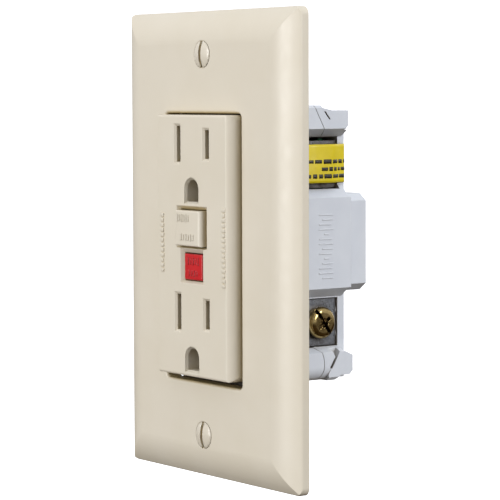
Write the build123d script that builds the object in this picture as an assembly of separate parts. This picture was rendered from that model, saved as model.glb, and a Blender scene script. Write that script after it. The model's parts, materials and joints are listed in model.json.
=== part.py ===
from build123d import *
import os

# A ground-fault receptacle with its wall plate, in millimetres.
# Origin: centre of the device, on the wall plane. +X is right as seen by the user,
# +Z is up, and -Y points out of the wall towards the user. The body sinks in towards +Y.

# ---- driving dimensions ----
PLATE_WIDTH = 74.6
PLATE_HEIGHT = 119.06
PLATE_FRONT = -5.6
PLATE_SIDE_WALL = 2.2
PLATE_CROWN_WIDTH = 8.5
PLATE_SHELL = 2.1
PLATE_SCREW_Z = 48.42
OPENING_HALF_WIDTH = 16.75
OPENING_TOP = 33.55
OPENING_BOTTOM = -35.0

FACE_FRONT = -8.95
FACE_HALF_WIDTH = 16.35
FACE_HALF_HEIGHT = 33.2
FACE_WALL = 2.5
FACE_CREASE_INSET = 1.4
FACE_CREASE_DEPTH = 2.6
COVER_BACK = -1.25

STRAP_FRONT = -1.2
STRAP_BACK = 0.0
STRAP_HALF_LENGTH = 52.4
STRAP_MIDDLE_HALF = 35.25
BOX_SCREW_Z = 41.67
BOX_SCREW_RADIUS = 1.7525
BOX_SCREW_NECK = 1.6
BOX_SCREW_HOLE = 2.3

UPPER_OUTLET_Z = 25.82
LOWER_OUTLET_Z = -17.05
OUTLETS = (UPPER_OUTLET_Z, LOWER_OUTLET_Z)
BLADE_X = 6.35
GROUND_DROP = 11.6
GROUND_HALF_WIDTH = 2.65
GROUND_COLLAR_BACK = -2.4

BODY_HALF_WIDTH = 21.5
CORE_HALF_WIDTH = 18.5
CASE_WALL = 1.6
CORE_BOTTOM = -33.8
CORE_TOP = 35.2
CARRIER_FLOOR = 9.8
CARRIER_BACK = 11.3
REAR_START = 11.5
REAR_FACE = 25.4
BLOCK_REAR = 31.4
BODY_Z = (-10.7, 12.3)
BLOCK_Z = (-10.0, 11.2)

LINE_Z = -19.5
LOAD_Z = 20.6
TERMINAL_Y = 17.7
CLAMP_HALF_WIDTH = 5.4
CLAMP_HALF_HEIGHT = 6.0
TAB_SPAN = (15.0, 16.5)
CLAMP_SPAN = (16.55, 17.85)
SCREW_HEAD_RADIUS = 4.15
SCREW_SHANK_RADIUS = 2.0

RESET_Z = (0.1, 9.1)
RESET_HALF_WIDTH = 5.75
RESET_FRONT = -10.44
TEST_Z = (-8.6, -1.95)
TEST_HALF_WIDTH = 3.95
TEST_FRONT = -8.46
RESET_PIN_Z = 4.6
TEST_PIN_Z = -5.3
BUTTON_FLANGE = (-6.2, -4.9)

CASE_SCREW_AT = (13.0, 30.4)
SOLENOID_Y = 15.8
BOARD_SPAN = (20.4, 22.0)
CONTACT_X = 9.9
CONTACT_Z = (3.2, -3.2)
FIXED_CONTACT_BACK = 11.8
BRIDGE_CONTACT_FRONT = 13.35
CARRIER_BLOCK = (14.7, 16.5)
LATCH_SPAN = (16.7, 17.5)
GROUND_SCREW_Y = 6.6
GROUND_SCREW_Z = -39.6
WIRE_HOLE_RADIUS = 1.25
WIRE_HOLE_X = 16.6
WIRE_HOLE_OFFSET = 3.0
CASE_SCREW_HEAD_Y = 22.6
TRANSFORMER_X = -8.4
TRANSFORMER_Z = 0.5
TRANSFORMER_LEADS = (TRANSFORMER_X - 1.5, TRANSFORMER_X + 1.5)
SIDES = (1, -1)


# ---- building blocks ----
def block(x, y, z):
    """A box from three (low, high) spans."""
    size = [high - low for low, high in (x, y, z)]
    centre = [(high + low) / 2 for low, high in (x, y, z)]
    return Pos(*centre) * Box(*size)


def both_ways(half):
    """The span from -half to +half."""
    return (-half, half)


def around(centre, half):
    """The span of the given half width around a centre."""
    return (centre - half, centre + half)


def rod_x(radius, y, z, span):
    low, high = sorted(span)
    return Pos((low + high) / 2, y, z) * Rot(0, 90, 0) * Cylinder(radius, high - low)


def rod_y(radius, x, z, span):
    low, high = span
    return Pos(x, (low + high) / 2, z) * Rot(90, 0, 0) * Cylinder(radius, high - low)


def rod_z(radius, x, y, span):
    low, high = span
    return Pos(x, y, (low + high) / 2) * Cylinder(radius, high - low)


def cone_y(front_radius, back_radius, x, z, span):
    """A cone along Y with one radius at the front (low Y) and another at the back."""
    low, high = span
    return Pos(x, (low + high) / 2, z) * Rot(90, 0, 0) * Cone(back_radius, front_radius, high - low)


def slab_xz(sketch, span):
    """A sketch drawn in (x, z), extruded along Y over a span."""
    low, high = span
    return extrude(Plane.XZ.offset(-low) * sketch, amount=high - low, dir=(0, 1, 0))


def slab_yz(sketch, span):
    """A sketch drawn in (y, z), extruded along X over a span."""
    low, high = span
    return extrude(Plane.YZ.offset(low) * sketch, amount=high - low, dir=(1, 0, 0))


def slab_xy(sketch, span):
    """A sketch drawn in (x, y), extruded along Z over a span."""
    low, high = span
    return extrude(Plane.XY.offset(low) * sketch, amount=high - low, dir=(0, 0, 1))


def polygon(*points):
    return Polygon(*points, align=None)


def funnel(outer, inner, span):
    """A four-sided funnel along Y; outer and inner are (x low, x high, z low, z high)."""
    faces = []
    for (x_low, x_high, z_low, z_high), y in zip((outer, inner), span):
        middle = Location(((x_low + x_high) / 2, (z_low + z_high) / 2))
        sketch = middle * Rectangle(x_high - x_low, z_high - z_low)
        faces.append(Plane.XZ.offset(-y) * sketch)
    return loft(faces)


def grown(rect, margin):
    x_low, x_high, z_low, z_high = rect
    return (x_low - margin, x_high + margin, z_low - margin, z_high + margin)


def mirrored(shape):
    return mirror(shape, about=Plane.YZ)


def on_side(shape, side):
    """A shape made for the +X side, mirrored for the other one."""
    return shape if side > 0 else mirrored(shape)


def spring(radius, wire, turns, length):
    """A helical compression spring standing on the origin, along +Z."""
    run = length - 2 * wire
    path = Pos(0, 0, wire) * Helix(pitch=run / turns, height=run, radius=radius)
    section = Plane(path @ 0, z_dir=path % 0) * Circle(wire)
    return sweep(section, path=path, is_frenet=True)


def spring_y(radius, wire, turns, x, z, span):
    low, high = span
    return Pos(x, low, z) * Rot(-90, 0, 0) * spring(radius, wire, turns, high - low)


def spring_z(radius, wire, turns, x, y, span):
    low, high = span
    return Pos(x, y, low) * spring(radius, wire, turns, high - low)


def save(name, *solids):
    shape = solids[0] if len(solids) == 1 else Compound(children=list(solids))
    export_step(shape, f"parts/{name}.step")


# ---- wall plate and its screws ----
def crowned_section(width):
    """The plate's section in (width, depth): a square foot, then an arc into the flat front."""
    drop = -PLATE_FRONT - PLATE_SIDE_WALL
    radius = (PLATE_CROWN_WIDTH**2 + drop**2) / (2 * drop)
    edge = width / 2
    flat = edge - PLATE_CROWN_WIDTH
    outline = Polyline((flat, PLATE_FRONT), (-flat, PLATE_FRONT))
    outline += RadiusArc((-flat, PLATE_FRONT), (-edge, -PLATE_SIDE_WALL), radius)
    outline += Polyline((-edge, -PLATE_SIDE_WALL), (-edge, 0), (edge, 0), (edge, -PLATE_SIDE_WALL))
    outline += RadiusArc((edge, -PLATE_SIDE_WALL), (flat, PLATE_FRONT), radius)
    section = make_face(outline)
    shoulders = [v for v in section.vertices() if abs(v.Y + PLATE_SIDE_WALL) < 0.01]
    return fillet(shoulders, 0.9)


def wall_plate():
    corner_radius = 2.0
    rib_half = 0.6
    boss_radius = 3.1
    lip = 1.6
    hollow_front = PLATE_FRONT + PLATE_SHELL
    across = slab_xy(crowned_section(PLATE_WIDTH), both_ways(PLATE_HEIGHT / 2))
    along = Rot(0, 90, 0) * slab_xy(crowned_section(PLATE_HEIGHT), both_ways(PLATE_WIDTH / 2))
    outline = slab_xz(RectangleRounded(PLATE_WIDTH, PLATE_HEIGHT, corner_radius), (PLATE_FRONT, 0))
    plate = across & along & outline
    half_width = PLATE_WIDTH / 2 - PLATE_SHELL
    half_height = PLATE_HEIGHT / 2 - PLATE_SHELL
    draft = 3.2
    plate -= block(both_ways(half_width), (-PLATE_SIDE_WALL, 0), both_ways(half_height))
    plate -= block(both_ways(half_width - draft), (hollow_front, 0), both_ways(half_height - draft))

    opening_height = OPENING_TOP - OPENING_BOTTOM
    opening_middle = (OPENING_TOP + OPENING_BOTTOM) / 2
    frame = Pos(0, opening_middle) * RectangleRounded(
        2 * (OPENING_HALF_WIDTH + lip), opening_height + 2 * lip, 2.0
    )
    plate += slab_xz(frame, (hollow_front, STRAP_FRONT - 0.2))
    for z in (PLATE_SCREW_Z, -PLATE_SCREW_Z):
        plate += rod_y(boss_radius, 0, z, (hollow_front, STRAP_FRONT))
        for x in (-23.0, 23.0):
            plate += block(around(x, rib_half), (hollow_front, -1.6), around(z, 6.0))
    for side in SIDES:
        for z in (-30.0, -10.0, 10.0, 30.0):
            rib = block((OPENING_HALF_WIDTH + lip, half_width), (hollow_front, -1.6), around(z, rib_half))
            plate += on_side(rib, side)

    mouth = Pos(0, opening_middle) * RectangleRounded(2 * OPENING_HALF_WIDTH, opening_height, 1.2)
    plate -= slab_xz(mouth, (PLATE_FRONT - 1, 0))
    mouth_edges = [
        edge
        for edge in plate.edges()
        if abs(edge.center().Y - PLATE_FRONT) < 0.01
        and abs(edge.center().X) < OPENING_HALF_WIDTH + 0.1
        and OPENING_BOTTOM - 0.1 < edge.center().Z < OPENING_TOP + 0.1
    ]
    plate = fillet(mouth_edges, 0.8)
    for z in (PLATE_SCREW_Z, -PLATE_SCREW_Z):
        plate -= rod_y(2.0, 0, z, (PLATE_FRONT - 1, 0))
        plate -= cone_y(3.6, 1.8, 0, z, (PLATE_FRONT, PLATE_FRONT + 1.8))
    return plate


def plate_screw(z):
    """An oval-head screw with one straight slot."""
    head_radius = 3.45
    dome_height = 0.75
    dome_radius = (head_radius**2 + dome_height**2) / (2 * dome_height)
    dome = Pos(0, PLATE_FRONT - dome_height + dome_radius, z) * Sphere(dome_radius)
    head = dome & rod_y(head_radius, 0, z, (PLATE_FRONT - dome_height - 0.1, PLATE_FRONT + 0.02))
    screw = head + cone_y(head_radius, 1.7, 0, z, (PLATE_FRONT + 0.02, PLATE_FRONT + 1.75))
    screw += rod_y(1.7, 0, z, (PLATE_FRONT + 1.7, 6.0))
    slot = block(both_ways(0.5), (PLATE_FRONT - 1.0, PLATE_FRONT + 0.35), both_ways(4.0))
    return screw - Pos(0, 0, z) * slot


# ---- the face of the device ----
def blade_slot(x, z, throat_height):
    """The hollow of one blade slot, with its lead-in, running through the face."""
    throat_half = 0.95
    lead = 0.62
    rect = (x - throat_half, x + throat_half, z - throat_height / 2, z + throat_height / 2)
    through = (FACE_FRONT - 0.2, FACE_FRONT + FACE_WALL + 0.5)
    slot = block(rect[:2], through, rect[2:])
    return slot + funnel(grown(rect, lead), rect, (FACE_FRONT, FACE_FRONT + lead))


def ground_outline(z, half_width):
    """The arched ground hole: round above, flat below."""
    drop = half_width + 0.3
    return Pos(0, z) * Circle(half_width) + Pos(0, z - drop / 2) * Rectangle(2 * half_width, drop)


def ground_collar(outlet_z):
    """The sleeve behind the face that guides the ground pin."""
    outline = ground_outline(outlet_z - GROUND_DROP, GROUND_HALF_WIDTH + 0.8)
    return slab_xz(outline, (FACE_FRONT + FACE_WALL - 0.1, GROUND_COLLAR_BACK))


def ground_hole(outlet_z):
    lead = 0.6
    z = outlet_z - GROUND_DROP
    through = (FACE_FRONT - 0.2, GROUND_COLLAR_BACK + 0.2)
    hole = slab_xz(ground_outline(z, GROUND_HALF_WIDTH), through)
    steps = 4
    for step in range(steps):
        depth = (FACE_FRONT + lead * step / steps, FACE_FRONT + lead * (step + 1) / steps)
        widening = lead * (1 - (step + 0.5) / steps)
        hole += slab_xz(ground_outline(z, GROUND_HALF_WIDTH + widening), depth)
    return hole


def face_section():
    """The face's section in (width, depth): a crease beside the flat front, then a curved side."""
    crease = FACE_HALF_WIDTH - FACE_CREASE_INSET
    shoulder = FACE_FRONT + FACE_CREASE_DEPTH
    radius = (FACE_CREASE_INSET**2 + FACE_CREASE_DEPTH**2) / (2 * FACE_CREASE_INSET)
    outline = Polyline((crease, FACE_FRONT), (-crease, FACE_FRONT))
    outline += RadiusArc((-crease, FACE_FRONT), (-FACE_HALF_WIDTH, shoulder), radius)
    outline += Polyline(
        (-FACE_HALF_WIDTH, shoulder),
        (-FACE_HALF_WIDTH, COVER_BACK),
        (FACE_HALF_WIDTH, COVER_BACK),
        (FACE_HALF_WIDTH, shoulder),
    )
    outline += RadiusArc((FACE_HALF_WIDTH, shoulder), (crease, FACE_FRONT), radius)
    return make_face(outline)


def face_shell():
    """The hollow box of the face: creased and curved sides, tight rounding along top and bottom."""
    end_radius = 0.6
    depth = COVER_BACK - FACE_FRONT
    middle = (COVER_BACK + FACE_FRONT) / 2
    along = Pos(middle, 0) * Rectangle(depth, 2 * FACE_HALF_HEIGHT)
    along = fillet(along.vertices().sort_by(Axis.X)[:2], end_radius)
    front = RectangleRounded(2 * FACE_HALF_WIDTH, 2 * FACE_HALF_HEIGHT, 1.2)
    shell = slab_xy(face_section(), both_ways(FACE_HALF_HEIGHT))
    shell &= slab_yz(along, both_ways(FACE_HALF_WIDTH))
    shell &= slab_xz(front, (FACE_FRONT, COVER_BACK))
    hollow_depth = (FACE_FRONT + FACE_WALL, COVER_BACK)
    return shell - block(both_ways(FACE_HALF_WIDTH - 1.8), hollow_depth, both_ways(FACE_HALF_HEIGHT - 1.2))


def front_cover():
    cover = face_shell()
    post_x, post_z = CASE_SCREW_AT
    for x in (-post_x, post_x):
        for z in (-post_z, post_z):
            cover += rod_y(2.2, x, z, (FACE_FRONT + FACE_WALL - 0.1, COVER_BACK))
            cover -= rod_y(1.3, x, z, (FACE_FRONT + FACE_WALL + 0.4, COVER_BACK))
    for outlet_z in OUTLETS:
        cover += ground_collar(outlet_z)
        cover -= blade_slot(-BLADE_X, outlet_z, 9.1)
        cover -= blade_slot(BLADE_X, outlet_z, 7.2)
        cover -= ground_hole(outlet_z)
    for half_width, (z_low, z_high), outer in (
        (RESET_HALF_WIDTH + 0.35, RESET_Z, (-6.8, 6.8, -0.55, 10.2)),
        (TEST_HALF_WIDTH + 0.3, TEST_Z, (-5.1, 5.1, -9.5, -0.62)),
    ):
        inner = (-half_width, half_width, z_low - 0.25, z_high + 0.25)
        cover -= funnel(outer, inner, (FACE_FRONT, FACE_FRONT + 1.0))
        cover -= block(inner[:2], (FACE_FRONT - 0.2, FACE_FRONT + FACE_WALL + 0.5), inner[2:])
    return cover


# ---- buttons ----
def mark_row(front, x_span, z, half_height, count):
    """Plain raised bars in a row, standing 0.15 mm proud of a button's front."""
    bars = []
    x_low, x_high = x_span
    pitch = (x_high - x_low) / count
    for index in range(count):
        x = x_low + pitch * (index + 0.5)
        reach = half_height * (0.8 if index % 2 else 1.0)
        bars.append(block(around(x, pitch * 0.3), (front - 0.15, front + 0.1), around(z, reach)))
    return bars


def cap_block(half_width, z_span, y_span, side_radius, end_radius):
    """A box whose front edges are rounded: one radius down the sides, another along the ends."""
    front, back = y_span
    low, high = z_span
    across = Pos(0, (front + back) / 2) * Rectangle(2 * half_width, back - front)
    across = fillet(across.vertices().sort_by(Axis.Y)[:2], side_radius)
    along = Pos((front + back) / 2, (low + high) / 2) * Rectangle(back - front, high - low)
    along = fillet(along.vertices().sort_by(Axis.X)[:2], end_radius)
    return slab_xy(across, z_span) & slab_yz(along, both_ways(half_width))


def button(half_width, z_span, front, flange_margin, side_radius, end_radius):
    """A button's cap and the flange that holds it behind the face."""
    z_low, z_high = z_span
    cap = cap_block(half_width, z_span, (front, BUTTON_FLANGE[0]), side_radius, end_radius)
    flange_z = (z_low - flange_margin, z_high + flange_margin)
    return cap + block(both_ways(half_width + 1.0), BUTTON_FLANGE, flange_z)


def reset_button():
    cap = button(RESET_HALF_WIDTH, RESET_Z, RESET_FRONT, 0.9, 1.1, 0.4)
    cap += rod_y(1.9, 0, RESET_PIN_Z, (BUTTON_FLANGE[1], -3.4))
    upper_marks = mark_row(RESET_FRONT, (-4.6, 1.0), 7.2, 1.0, 6)
    lower_marks = mark_row(RESET_FRONT, (-3.2, 3.2), 2.35, 0.85, 6)
    for bar in upper_marks + lower_marks:
        cap += bar
    bore = rod_y(1.3, 0, RESET_PIN_Z, (-5.5, -3.0))
    return cap - bore


def test_button():
    cap = button(TEST_HALF_WIDTH, TEST_Z, TEST_FRONT, 0.8, 0.35, 0.35)
    cap += rod_y(1.4, 0, TEST_PIN_Z, (BUTTON_FLANGE[1], 2.4))
    upper_marks = mark_row(TEST_FRONT, (-3.0, 2.6), -3.8, 0.95, 5)
    lower_marks = mark_row(TEST_FRONT, (-2.6, 2.0), -6.9, 0.8, 4)
    for bar in upper_marks + lower_marks:
        cap += bar
    return cap


def reset_pin():
    """The steel latch pin: a waist for the latch to grip, then a tapered tip."""
    pin = rod_y(1.28, 0, RESET_PIN_Z, (-5.4, 13.4))
    pin += rod_y(0.8, 0, RESET_PIN_Z, (13.4, 14.4))
    return pin + cone_y(1.28, 0.5, 0, RESET_PIN_Z, (14.4, 16.2))


# ---- mounting strap and its screws ----
def mounting_strap():
    thickness = (STRAP_FRONT, STRAP_BACK)
    post_x, post_z = CASE_SCREW_AT
    ear_width = 32.0
    ear_height = 17.0
    neck_width = 14.0
    strap = Rectangle(2 * FACE_HALF_WIDTH - 1.7, 2 * STRAP_MIDDLE_HALF)
    strap += Rectangle(neck_width, 2 * (STRAP_HALF_LENGTH - ear_height / 2))
    for end in (1, -1):
        ear = RectangleRounded(ear_width, ear_height, 3.0)
        strap += Pos(0, end * (STRAP_HALF_LENGTH - ear_height / 2)) * ear
    for z in OUTLETS:
        for x in (-BLADE_X, BLADE_X):
            strap -= Pos(x, z) * Rectangle(3.4, 11.0)
        strap -= Pos(0, z - GROUND_DROP - 0.2) * Rectangle(5.8, 6.0)
        strap -= Pos(0, z - GROUND_DROP + 5.0) * Circle(0.85)
    strap -= Pos(0, RESET_PIN_Z) * Circle(2.2)
    strap -= Pos(0, TEST_PIN_Z) * Circle(1.8)
    for end in (1, -1):
        strap -= Pos(0, end * PLATE_SCREW_Z) * Circle(1.75)
        strap -= Pos(0, end * BOX_SCREW_Z) * Circle(BOX_SCREW_HOLE)
        for x in (-post_x, post_x):
            strap -= Pos(x, end * post_z) * Circle(1.7)
        for x in (-12.5, 12.5):
            strap -= Pos(x, end * 46.0) * Circle(1.6)
    strap = slab_xz(strap, thickness)
    ground_tab = block((-14.6, -13.4), (STRAP_FRONT, 11.4), (-42.6, -36.6))
    ground_tab -= rod_x(SCREW_SHANK_RADIUS + 0.1, GROUND_SCREW_Y, GROUND_SCREW_Z, (-15.0, -13.0))
    return strap + ground_tab


def mounting_screw(z):
    """The captive screw that fastens the device to a wall box: head, plain neck, thread."""
    tip = 22.0
    thread_start = STRAP_BACK - 0.03
    head = rod_y(3.3, 0, z, (STRAP_FRONT - 2.0, STRAP_FRONT - 0.02))
    head = fillet(head.edges().group_by(Axis.Y)[0], 1.2)
    screw = head + rod_y(BOX_SCREW_NECK, 0, z, (STRAP_FRONT - 0.1, thread_start + 0.1))
    screw += rod_y(BOX_SCREW_RADIUS, 0, z, (thread_start, tip))
    screw = chamfer(screw.edges().group_by(Axis.Y)[-1], 0.6)
    slot = block(both_ways(0.5), (STRAP_FRONT - 2.2, STRAP_FRONT - 1.1), around(z, 4.0))
    return screw - slot


def screw_retainer(z):
    """A fibre bush in the strap that grips the screw's neck, so that the screw can't fall out."""
    depth = (STRAP_FRONT + 0.02, STRAP_BACK - 0.05)
    bush = rod_y(BOX_SCREW_HOLE - 0.05, 0, z, depth)
    return bush - rod_y(BOX_SCREW_NECK + 0.05, 0, z, (STRAP_FRONT - 1, STRAP_BACK + 1))


# ---- casing ----
def ear_outline(top):
    """One corner ear in (x, z), for the +X side."""
    if top:
        return polygon((10.0, 27.6), (18.5, 27.6), (21.5, 29.6), (21.5, 34.9), (20.9, 35.5), (10.0, 35.5))
    corners = polygon((10.0, -25.8), (18.5, -25.8), (21.5, -26.9), (21.5, -34.1), (10.0, -34.1))
    outer_corner = corners.vertices().sort_by(Axis.Y)[:2].sort_by(Axis.X)[-1]
    return fillet(outer_corner, 3.5)


def ear_split(top, margin):
    """The space of the ears' front pieces: a slanted end above, a round nose below."""
    if top:
        rear = 16.8 + margin
        return slab_yz(polygon((-1, 25), (rear + 2.5, 25), (rear - 3.4, 36), (-1, 36)), both_ways(23))
    nose_y, nose_z, nose_radius = 9.5, -30.0, 7.3 + margin
    return rod_x(nose_radius, nose_y, nose_z, (-23, 23)) + block(both_ways(23), (-1, nose_y), (-35, -25))


def mid_carrier():
    """The front half of the casing: it carries the contacts and the front of the ears."""
    carrier = block(both_ways(CORE_HALF_WIDTH - 0.1), (STRAP_BACK + 0.05, CARRIER_BACK), (-33.6, 35.0))
    for side in SIDES:
        for top in (True, False):
            ear = slab_xz(ear_outline(top), (STRAP_BACK + 0.05, 20.0)) & ear_split(top, 0)
            carrier += on_side(ear, side)
    pocket_x = 11.6
    carrier -= block(both_ways(pocket_x), (0, CARRIER_FLOOR), (-27.0, 32.4))
    carrier -= block(both_ways(8.4), (0, CARRIER_FLOOR), (-32.2, 32.4))
    for z in (LINE_Z, LOAD_Z):
        tab_z = around(z, CLAMP_HALF_HEIGHT + 0.2)
        for side in SIDES:
            carrier -= on_side(block((pocket_x - 0.1, 16.8), (7.0, CARRIER_BACK + 1), tab_z), side)
    for side in SIDES:
        for z in CONTACT_Z:
            carrier -= rod_y(1.5, side * CONTACT_X, z, (CARRIER_FLOOR - 1, CARRIER_BACK + 1))
    carrier -= rod_y(1.8, 0, RESET_PIN_Z, (CARRIER_FLOOR - 1, CARRIER_BACK + 1))
    for x in (-15.0, 15.0):
        carrier -= block(around(x, 1.4), (1.6, CARRIER_BACK + 1), (-10.0, 11.0))
    post_x, post_z = CASE_SCREW_AT
    for x in (-post_x, post_x):
        for z in (-post_z, post_z):
            carrier -= rod_y(1.5, x, z, (-1, 22))
    for z in (BOX_SCREW_Z, -BOX_SCREW_Z):
        carrier -= rod_y(3.0, 0, z, (-1, 22))
    return carrier


def ear_rear(top):
    """The rear piece of one corner ear, for the +X side."""
    whole_ear = (9, 23)
    outside = (18.5, 23)
    if top:
        ear = slab_xz(ear_outline(top), (9.0, 24.5))
        slit = polygon((16.9, 33.9), (17.3, 34.0), (18.9, 32.0), (18.5, 31.9))
        ear -= slab_yz(slit, outside)
        corner = polygon((23.5, 29.3), (24.8, 30.8), (24.8, 29.3))
        return ear - slab_yz(corner, whole_ear)
    ear = slab_xz(ear_outline(top), (9.0, 25.9))
    square_end = polygon((10.0, -27.0), (21.5, -27.0), (21.5, -33.3), (20.7, -34.1), (10.0, -34.1))
    square_part = polygon((20.7, -28.4), (26.0, -28.4), (26.0, -34.2), (18.2, -34.2), (18.2, -32.6))
    ear += slab_xz(square_end, (9.0, 25.9)) & slab_yz(square_part, whole_ear)
    under = polygon((20.5, -34.2), (22.2, -32.9), (24.9, -32.9), (26.0, -31.8), (26.0, -34.2))
    ear -= slab_yz(under, whole_ear)
    slope = polygon((23.2, -25.7), (23.2, -26.7), (26.0, -28.0), (26.0, -25.7))
    ear -= slab_yz(slope, whole_ear)
    valley = polygon((19.1, -25.7), (22.4, -25.7), (20.7, -28.9))
    slit = polygon((20.3, -28.2), (20.9, -28.5), (19.3, -31.1), (18.6, -30.9))
    return ear - slab_yz(valley, (19.2, 23)) - slab_yz(slit, outside)


def side_ramp(z_edge, front_tip, rear_tip):
    """A wedge from the wide middle up or down to a terminal notch, for the +X side."""
    inner = CORE_HALF_WIDTH - 0.1
    faces = []
    for y, z_tip in ((2.0, front_tip), (REAR_FACE - 0.8, rear_tip)):
        section = polygon((inner, z_edge), (BODY_HALF_WIDTH, z_edge), (inner, z_tip))
        faces.append(Plane.XZ.offset(-y) * section)
    return loft(faces)


def rear_block():
    """The box on the rear face, with its four long edges bevelled."""
    half_width = 20.0
    bevel_x = 2.5
    bevel_z = 1.8
    low, high = BLOCK_Z
    inner = half_width - bevel_x
    outline = polygon(
        (-half_width, low), (-inner, low - bevel_z), (inner, low - bevel_z), (half_width, low),
        (half_width, high), (inner, high + bevel_z), (-inner, high + bevel_z), (-half_width, high),
    )
    return slab_xz(outline, (REAR_FACE - 0.1, BLOCK_REAR))


def rear_housing():
    """The rear half of the casing: a wide middle, four ears, and notches for the terminals."""
    core = block(both_ways(CORE_HALF_WIDTH), (REAR_START, REAR_FACE), (CORE_BOTTOM, CORE_TOP))
    core += block(both_ways(BODY_HALF_WIDTH), (2.0, REAR_FACE), BODY_Z)
    core += rear_block()
    body_low, body_high = BODY_Z
    for side in SIDES:
        core += on_side(side_ramp(body_high, 14.2, 15.6), side)
        core += on_side(side_ramp(body_low, -13.1, -13.1), side)
        for top in (True, False):
            core += on_side(ear_rear(top), side)
    top_step = polygon((16.3, 34.9), (19.6, 34.2), (27, 34.2), (27, 36), (16.3, 36))
    core -= slab_yz(top_step, both_ways(23))
    core -= block(both_ways(CORE_HALF_WIDTH + 0.1), (0, REAR_START - 0.1), (-40, 40))
    for top in (True, False):
        front = ear_split(top, 0.15)
        front &= block((9.85, 23), (-1, 25), (-36, 36)) + block((-23, -9.85), (-1, 25), (-36, 36))
        core -= front

    inner_width = CORE_HALF_WIDTH - CASE_WALL
    inner_rear = REAR_FACE - CASE_WALL
    core -= block(both_ways(inner_width), (0, inner_rear), (-25.8, 27.4))
    core -= block(both_ways(9.0), (0, inner_rear), (-32.2, 32.6))
    core -= block(both_ways(18.4), (REAR_START - 0.2, BLOCK_REAR - CASE_WALL), (-8.4, 9.6))
    for z, notch_top in ((LINE_Z, LINE_Z + 6.2), (LOAD_Z, 27.6)):
        for side in SIDES:
            notch_y = (0, TERMINAL_Y + CLAMP_HALF_WIDTH + 0.2)
            core -= on_side(block((inner_width - 0.5, 19.5), notch_y, (z - 6.2, notch_top)), side)
            for offset in (-WIRE_HOLE_OFFSET, WIRE_HOLE_OFFSET):
                core -= rod_y(WIRE_HOLE_RADIUS, side * WIRE_HOLE_X, z + offset, (20, REAR_FACE + 1))
    post_x, post_z = CASE_SCREW_AT
    for x in (-post_x, post_x):
        for z in (-post_z, post_z):
            core -= rod_y(1.5, x, z, (8, 28))
            core -= rod_y(2.8, x, z, (CASE_SCREW_HEAD_Y, 28))
    return core


def case_screw(x, z):
    """A pan-head screw that clamps the casing and the cover onto the strap."""
    screw = rod_y(2.4, x, z, (CASE_SCREW_HEAD_Y + 0.02, CASE_SCREW_HEAD_Y + 1.6))
    screw = fillet(screw.edges().group_by(Axis.Y)[-1], 0.6)
    screw += rod_y(1.2, x, z, (-5.2, CASE_SCREW_HEAD_Y + 0.1))
    bar = block(around(x, 0.35), (CASE_SCREW_HEAD_Y + 0.8, CASE_SCREW_HEAD_Y + 2), around(z, 1.5))
    cross = block(around(x, 1.5), (CASE_SCREW_HEAD_Y + 0.8, CASE_SCREW_HEAD_Y + 2), around(z, 0.35))
    return screw - bar - cross


def load_terminal_tape():
    """The strip that covers both load terminals, wrapped round the rear face."""
    film = 0.2
    top, bottom = 25.7, 16.0
    rear = REAR_FACE + 0.05
    wall = CORE_HALF_WIDTH + 0.1
    bulge = 20.55
    flap = [
        (wall, rear),
        (wall + 0.45, TERMINAL_Y + SCREW_HEAD_RADIUS + 0.4),
        (bulge, TERMINAL_Y + 3.0),
        (bulge, TERMINAL_Y - 3.4),
        (wall + 1.1, 9.4),
    ]
    inner = [(0, rear)] + flap
    outer = [(x + film, y) for x, y in reversed(flap)]
    outer[-1] = (wall + film, rear + film)
    half = slab_xy(polygon(*inner, *outer, (0, rear + film)), (bottom, top))
    return half + mirrored(half)


# ---- terminals and contacts ----
def terminal_tab(z):
    """The threaded side tab that a terminal screw pulls its clamp against."""
    y_span = (8.8, TERMINAL_Y + CLAMP_HALF_WIDTH - 0.3)
    tab = block(TAB_SPAN, y_span, around(z, CLAMP_HALF_HEIGHT - 0.3))
    return tab - rod_x(SCREW_SHANK_RADIUS + 0.08, TERMINAL_Y, z, (14, 18))


def load_bar():
    """Receptacle clips for both outlets, their rail, the load tab and its fixed contact."""
    rail = (9.6, 10.4)
    reach = (8.8, 9.6)
    bar = block(rail, (2.0, 5.6), (LOWER_OUTLET_Z - 3.0, UPPER_OUTLET_Z + 3.0))
    for outlet_z in OUTLETS:
        leaf_z = around(outlet_z, 3.2)
        for gap in (-1.0, 0.55):
            bar += block((BLADE_X + gap - 0.3, BLADE_X + gap + 0.45), (1.0, 8.2), leaf_z)
        bar += block((BLADE_X - 1.3, BLADE_X + 1.0), (7.6, 8.2), leaf_z)
        bar += block((BLADE_X + 0.7, rail[0] + 0.1), (4.8, 5.6), around(outlet_z, 2.0))
    bar += block(rail, (5.5, reach[1]), around(LOAD_Z, 3.0))
    bar += block((rail[0], TAB_SPAN[1]), reach, around(LOAD_Z, CLAMP_HALF_HEIGHT - 0.3))
    bar += terminal_tab(LOAD_Z)
    upper_contact = CONTACT_Z[0]
    bar += block(rail, (5.5, reach[1]), around(upper_contact, 1.6))
    bar += block((CONTACT_X - 1.6, rail[1]), reach, around(upper_contact, 1.6))
    return bar


def line_bar():
    """The line tab and the strip that leads from it to its fixed contact."""
    reach = (8.8, 9.6)
    lower_contact = CONTACT_Z[1]
    bar = terminal_tab(LINE_Z)
    bar += block((8.6, TAB_SPAN[1]), reach, around(LINE_Z, CLAMP_HALF_HEIGHT - 0.3))
    bar += block((8.6, 11.2), reach, (LINE_Z, lower_contact + 1.6))
    return bar + block((CONTACT_X - 1.6, 11.2), reach, around(lower_contact, 1.6))


def fixed_contact(side, z):
    return rod_y(1.2, side * CONTACT_X, z, (9.6, FIXED_CONTACT_BACK))


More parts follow.
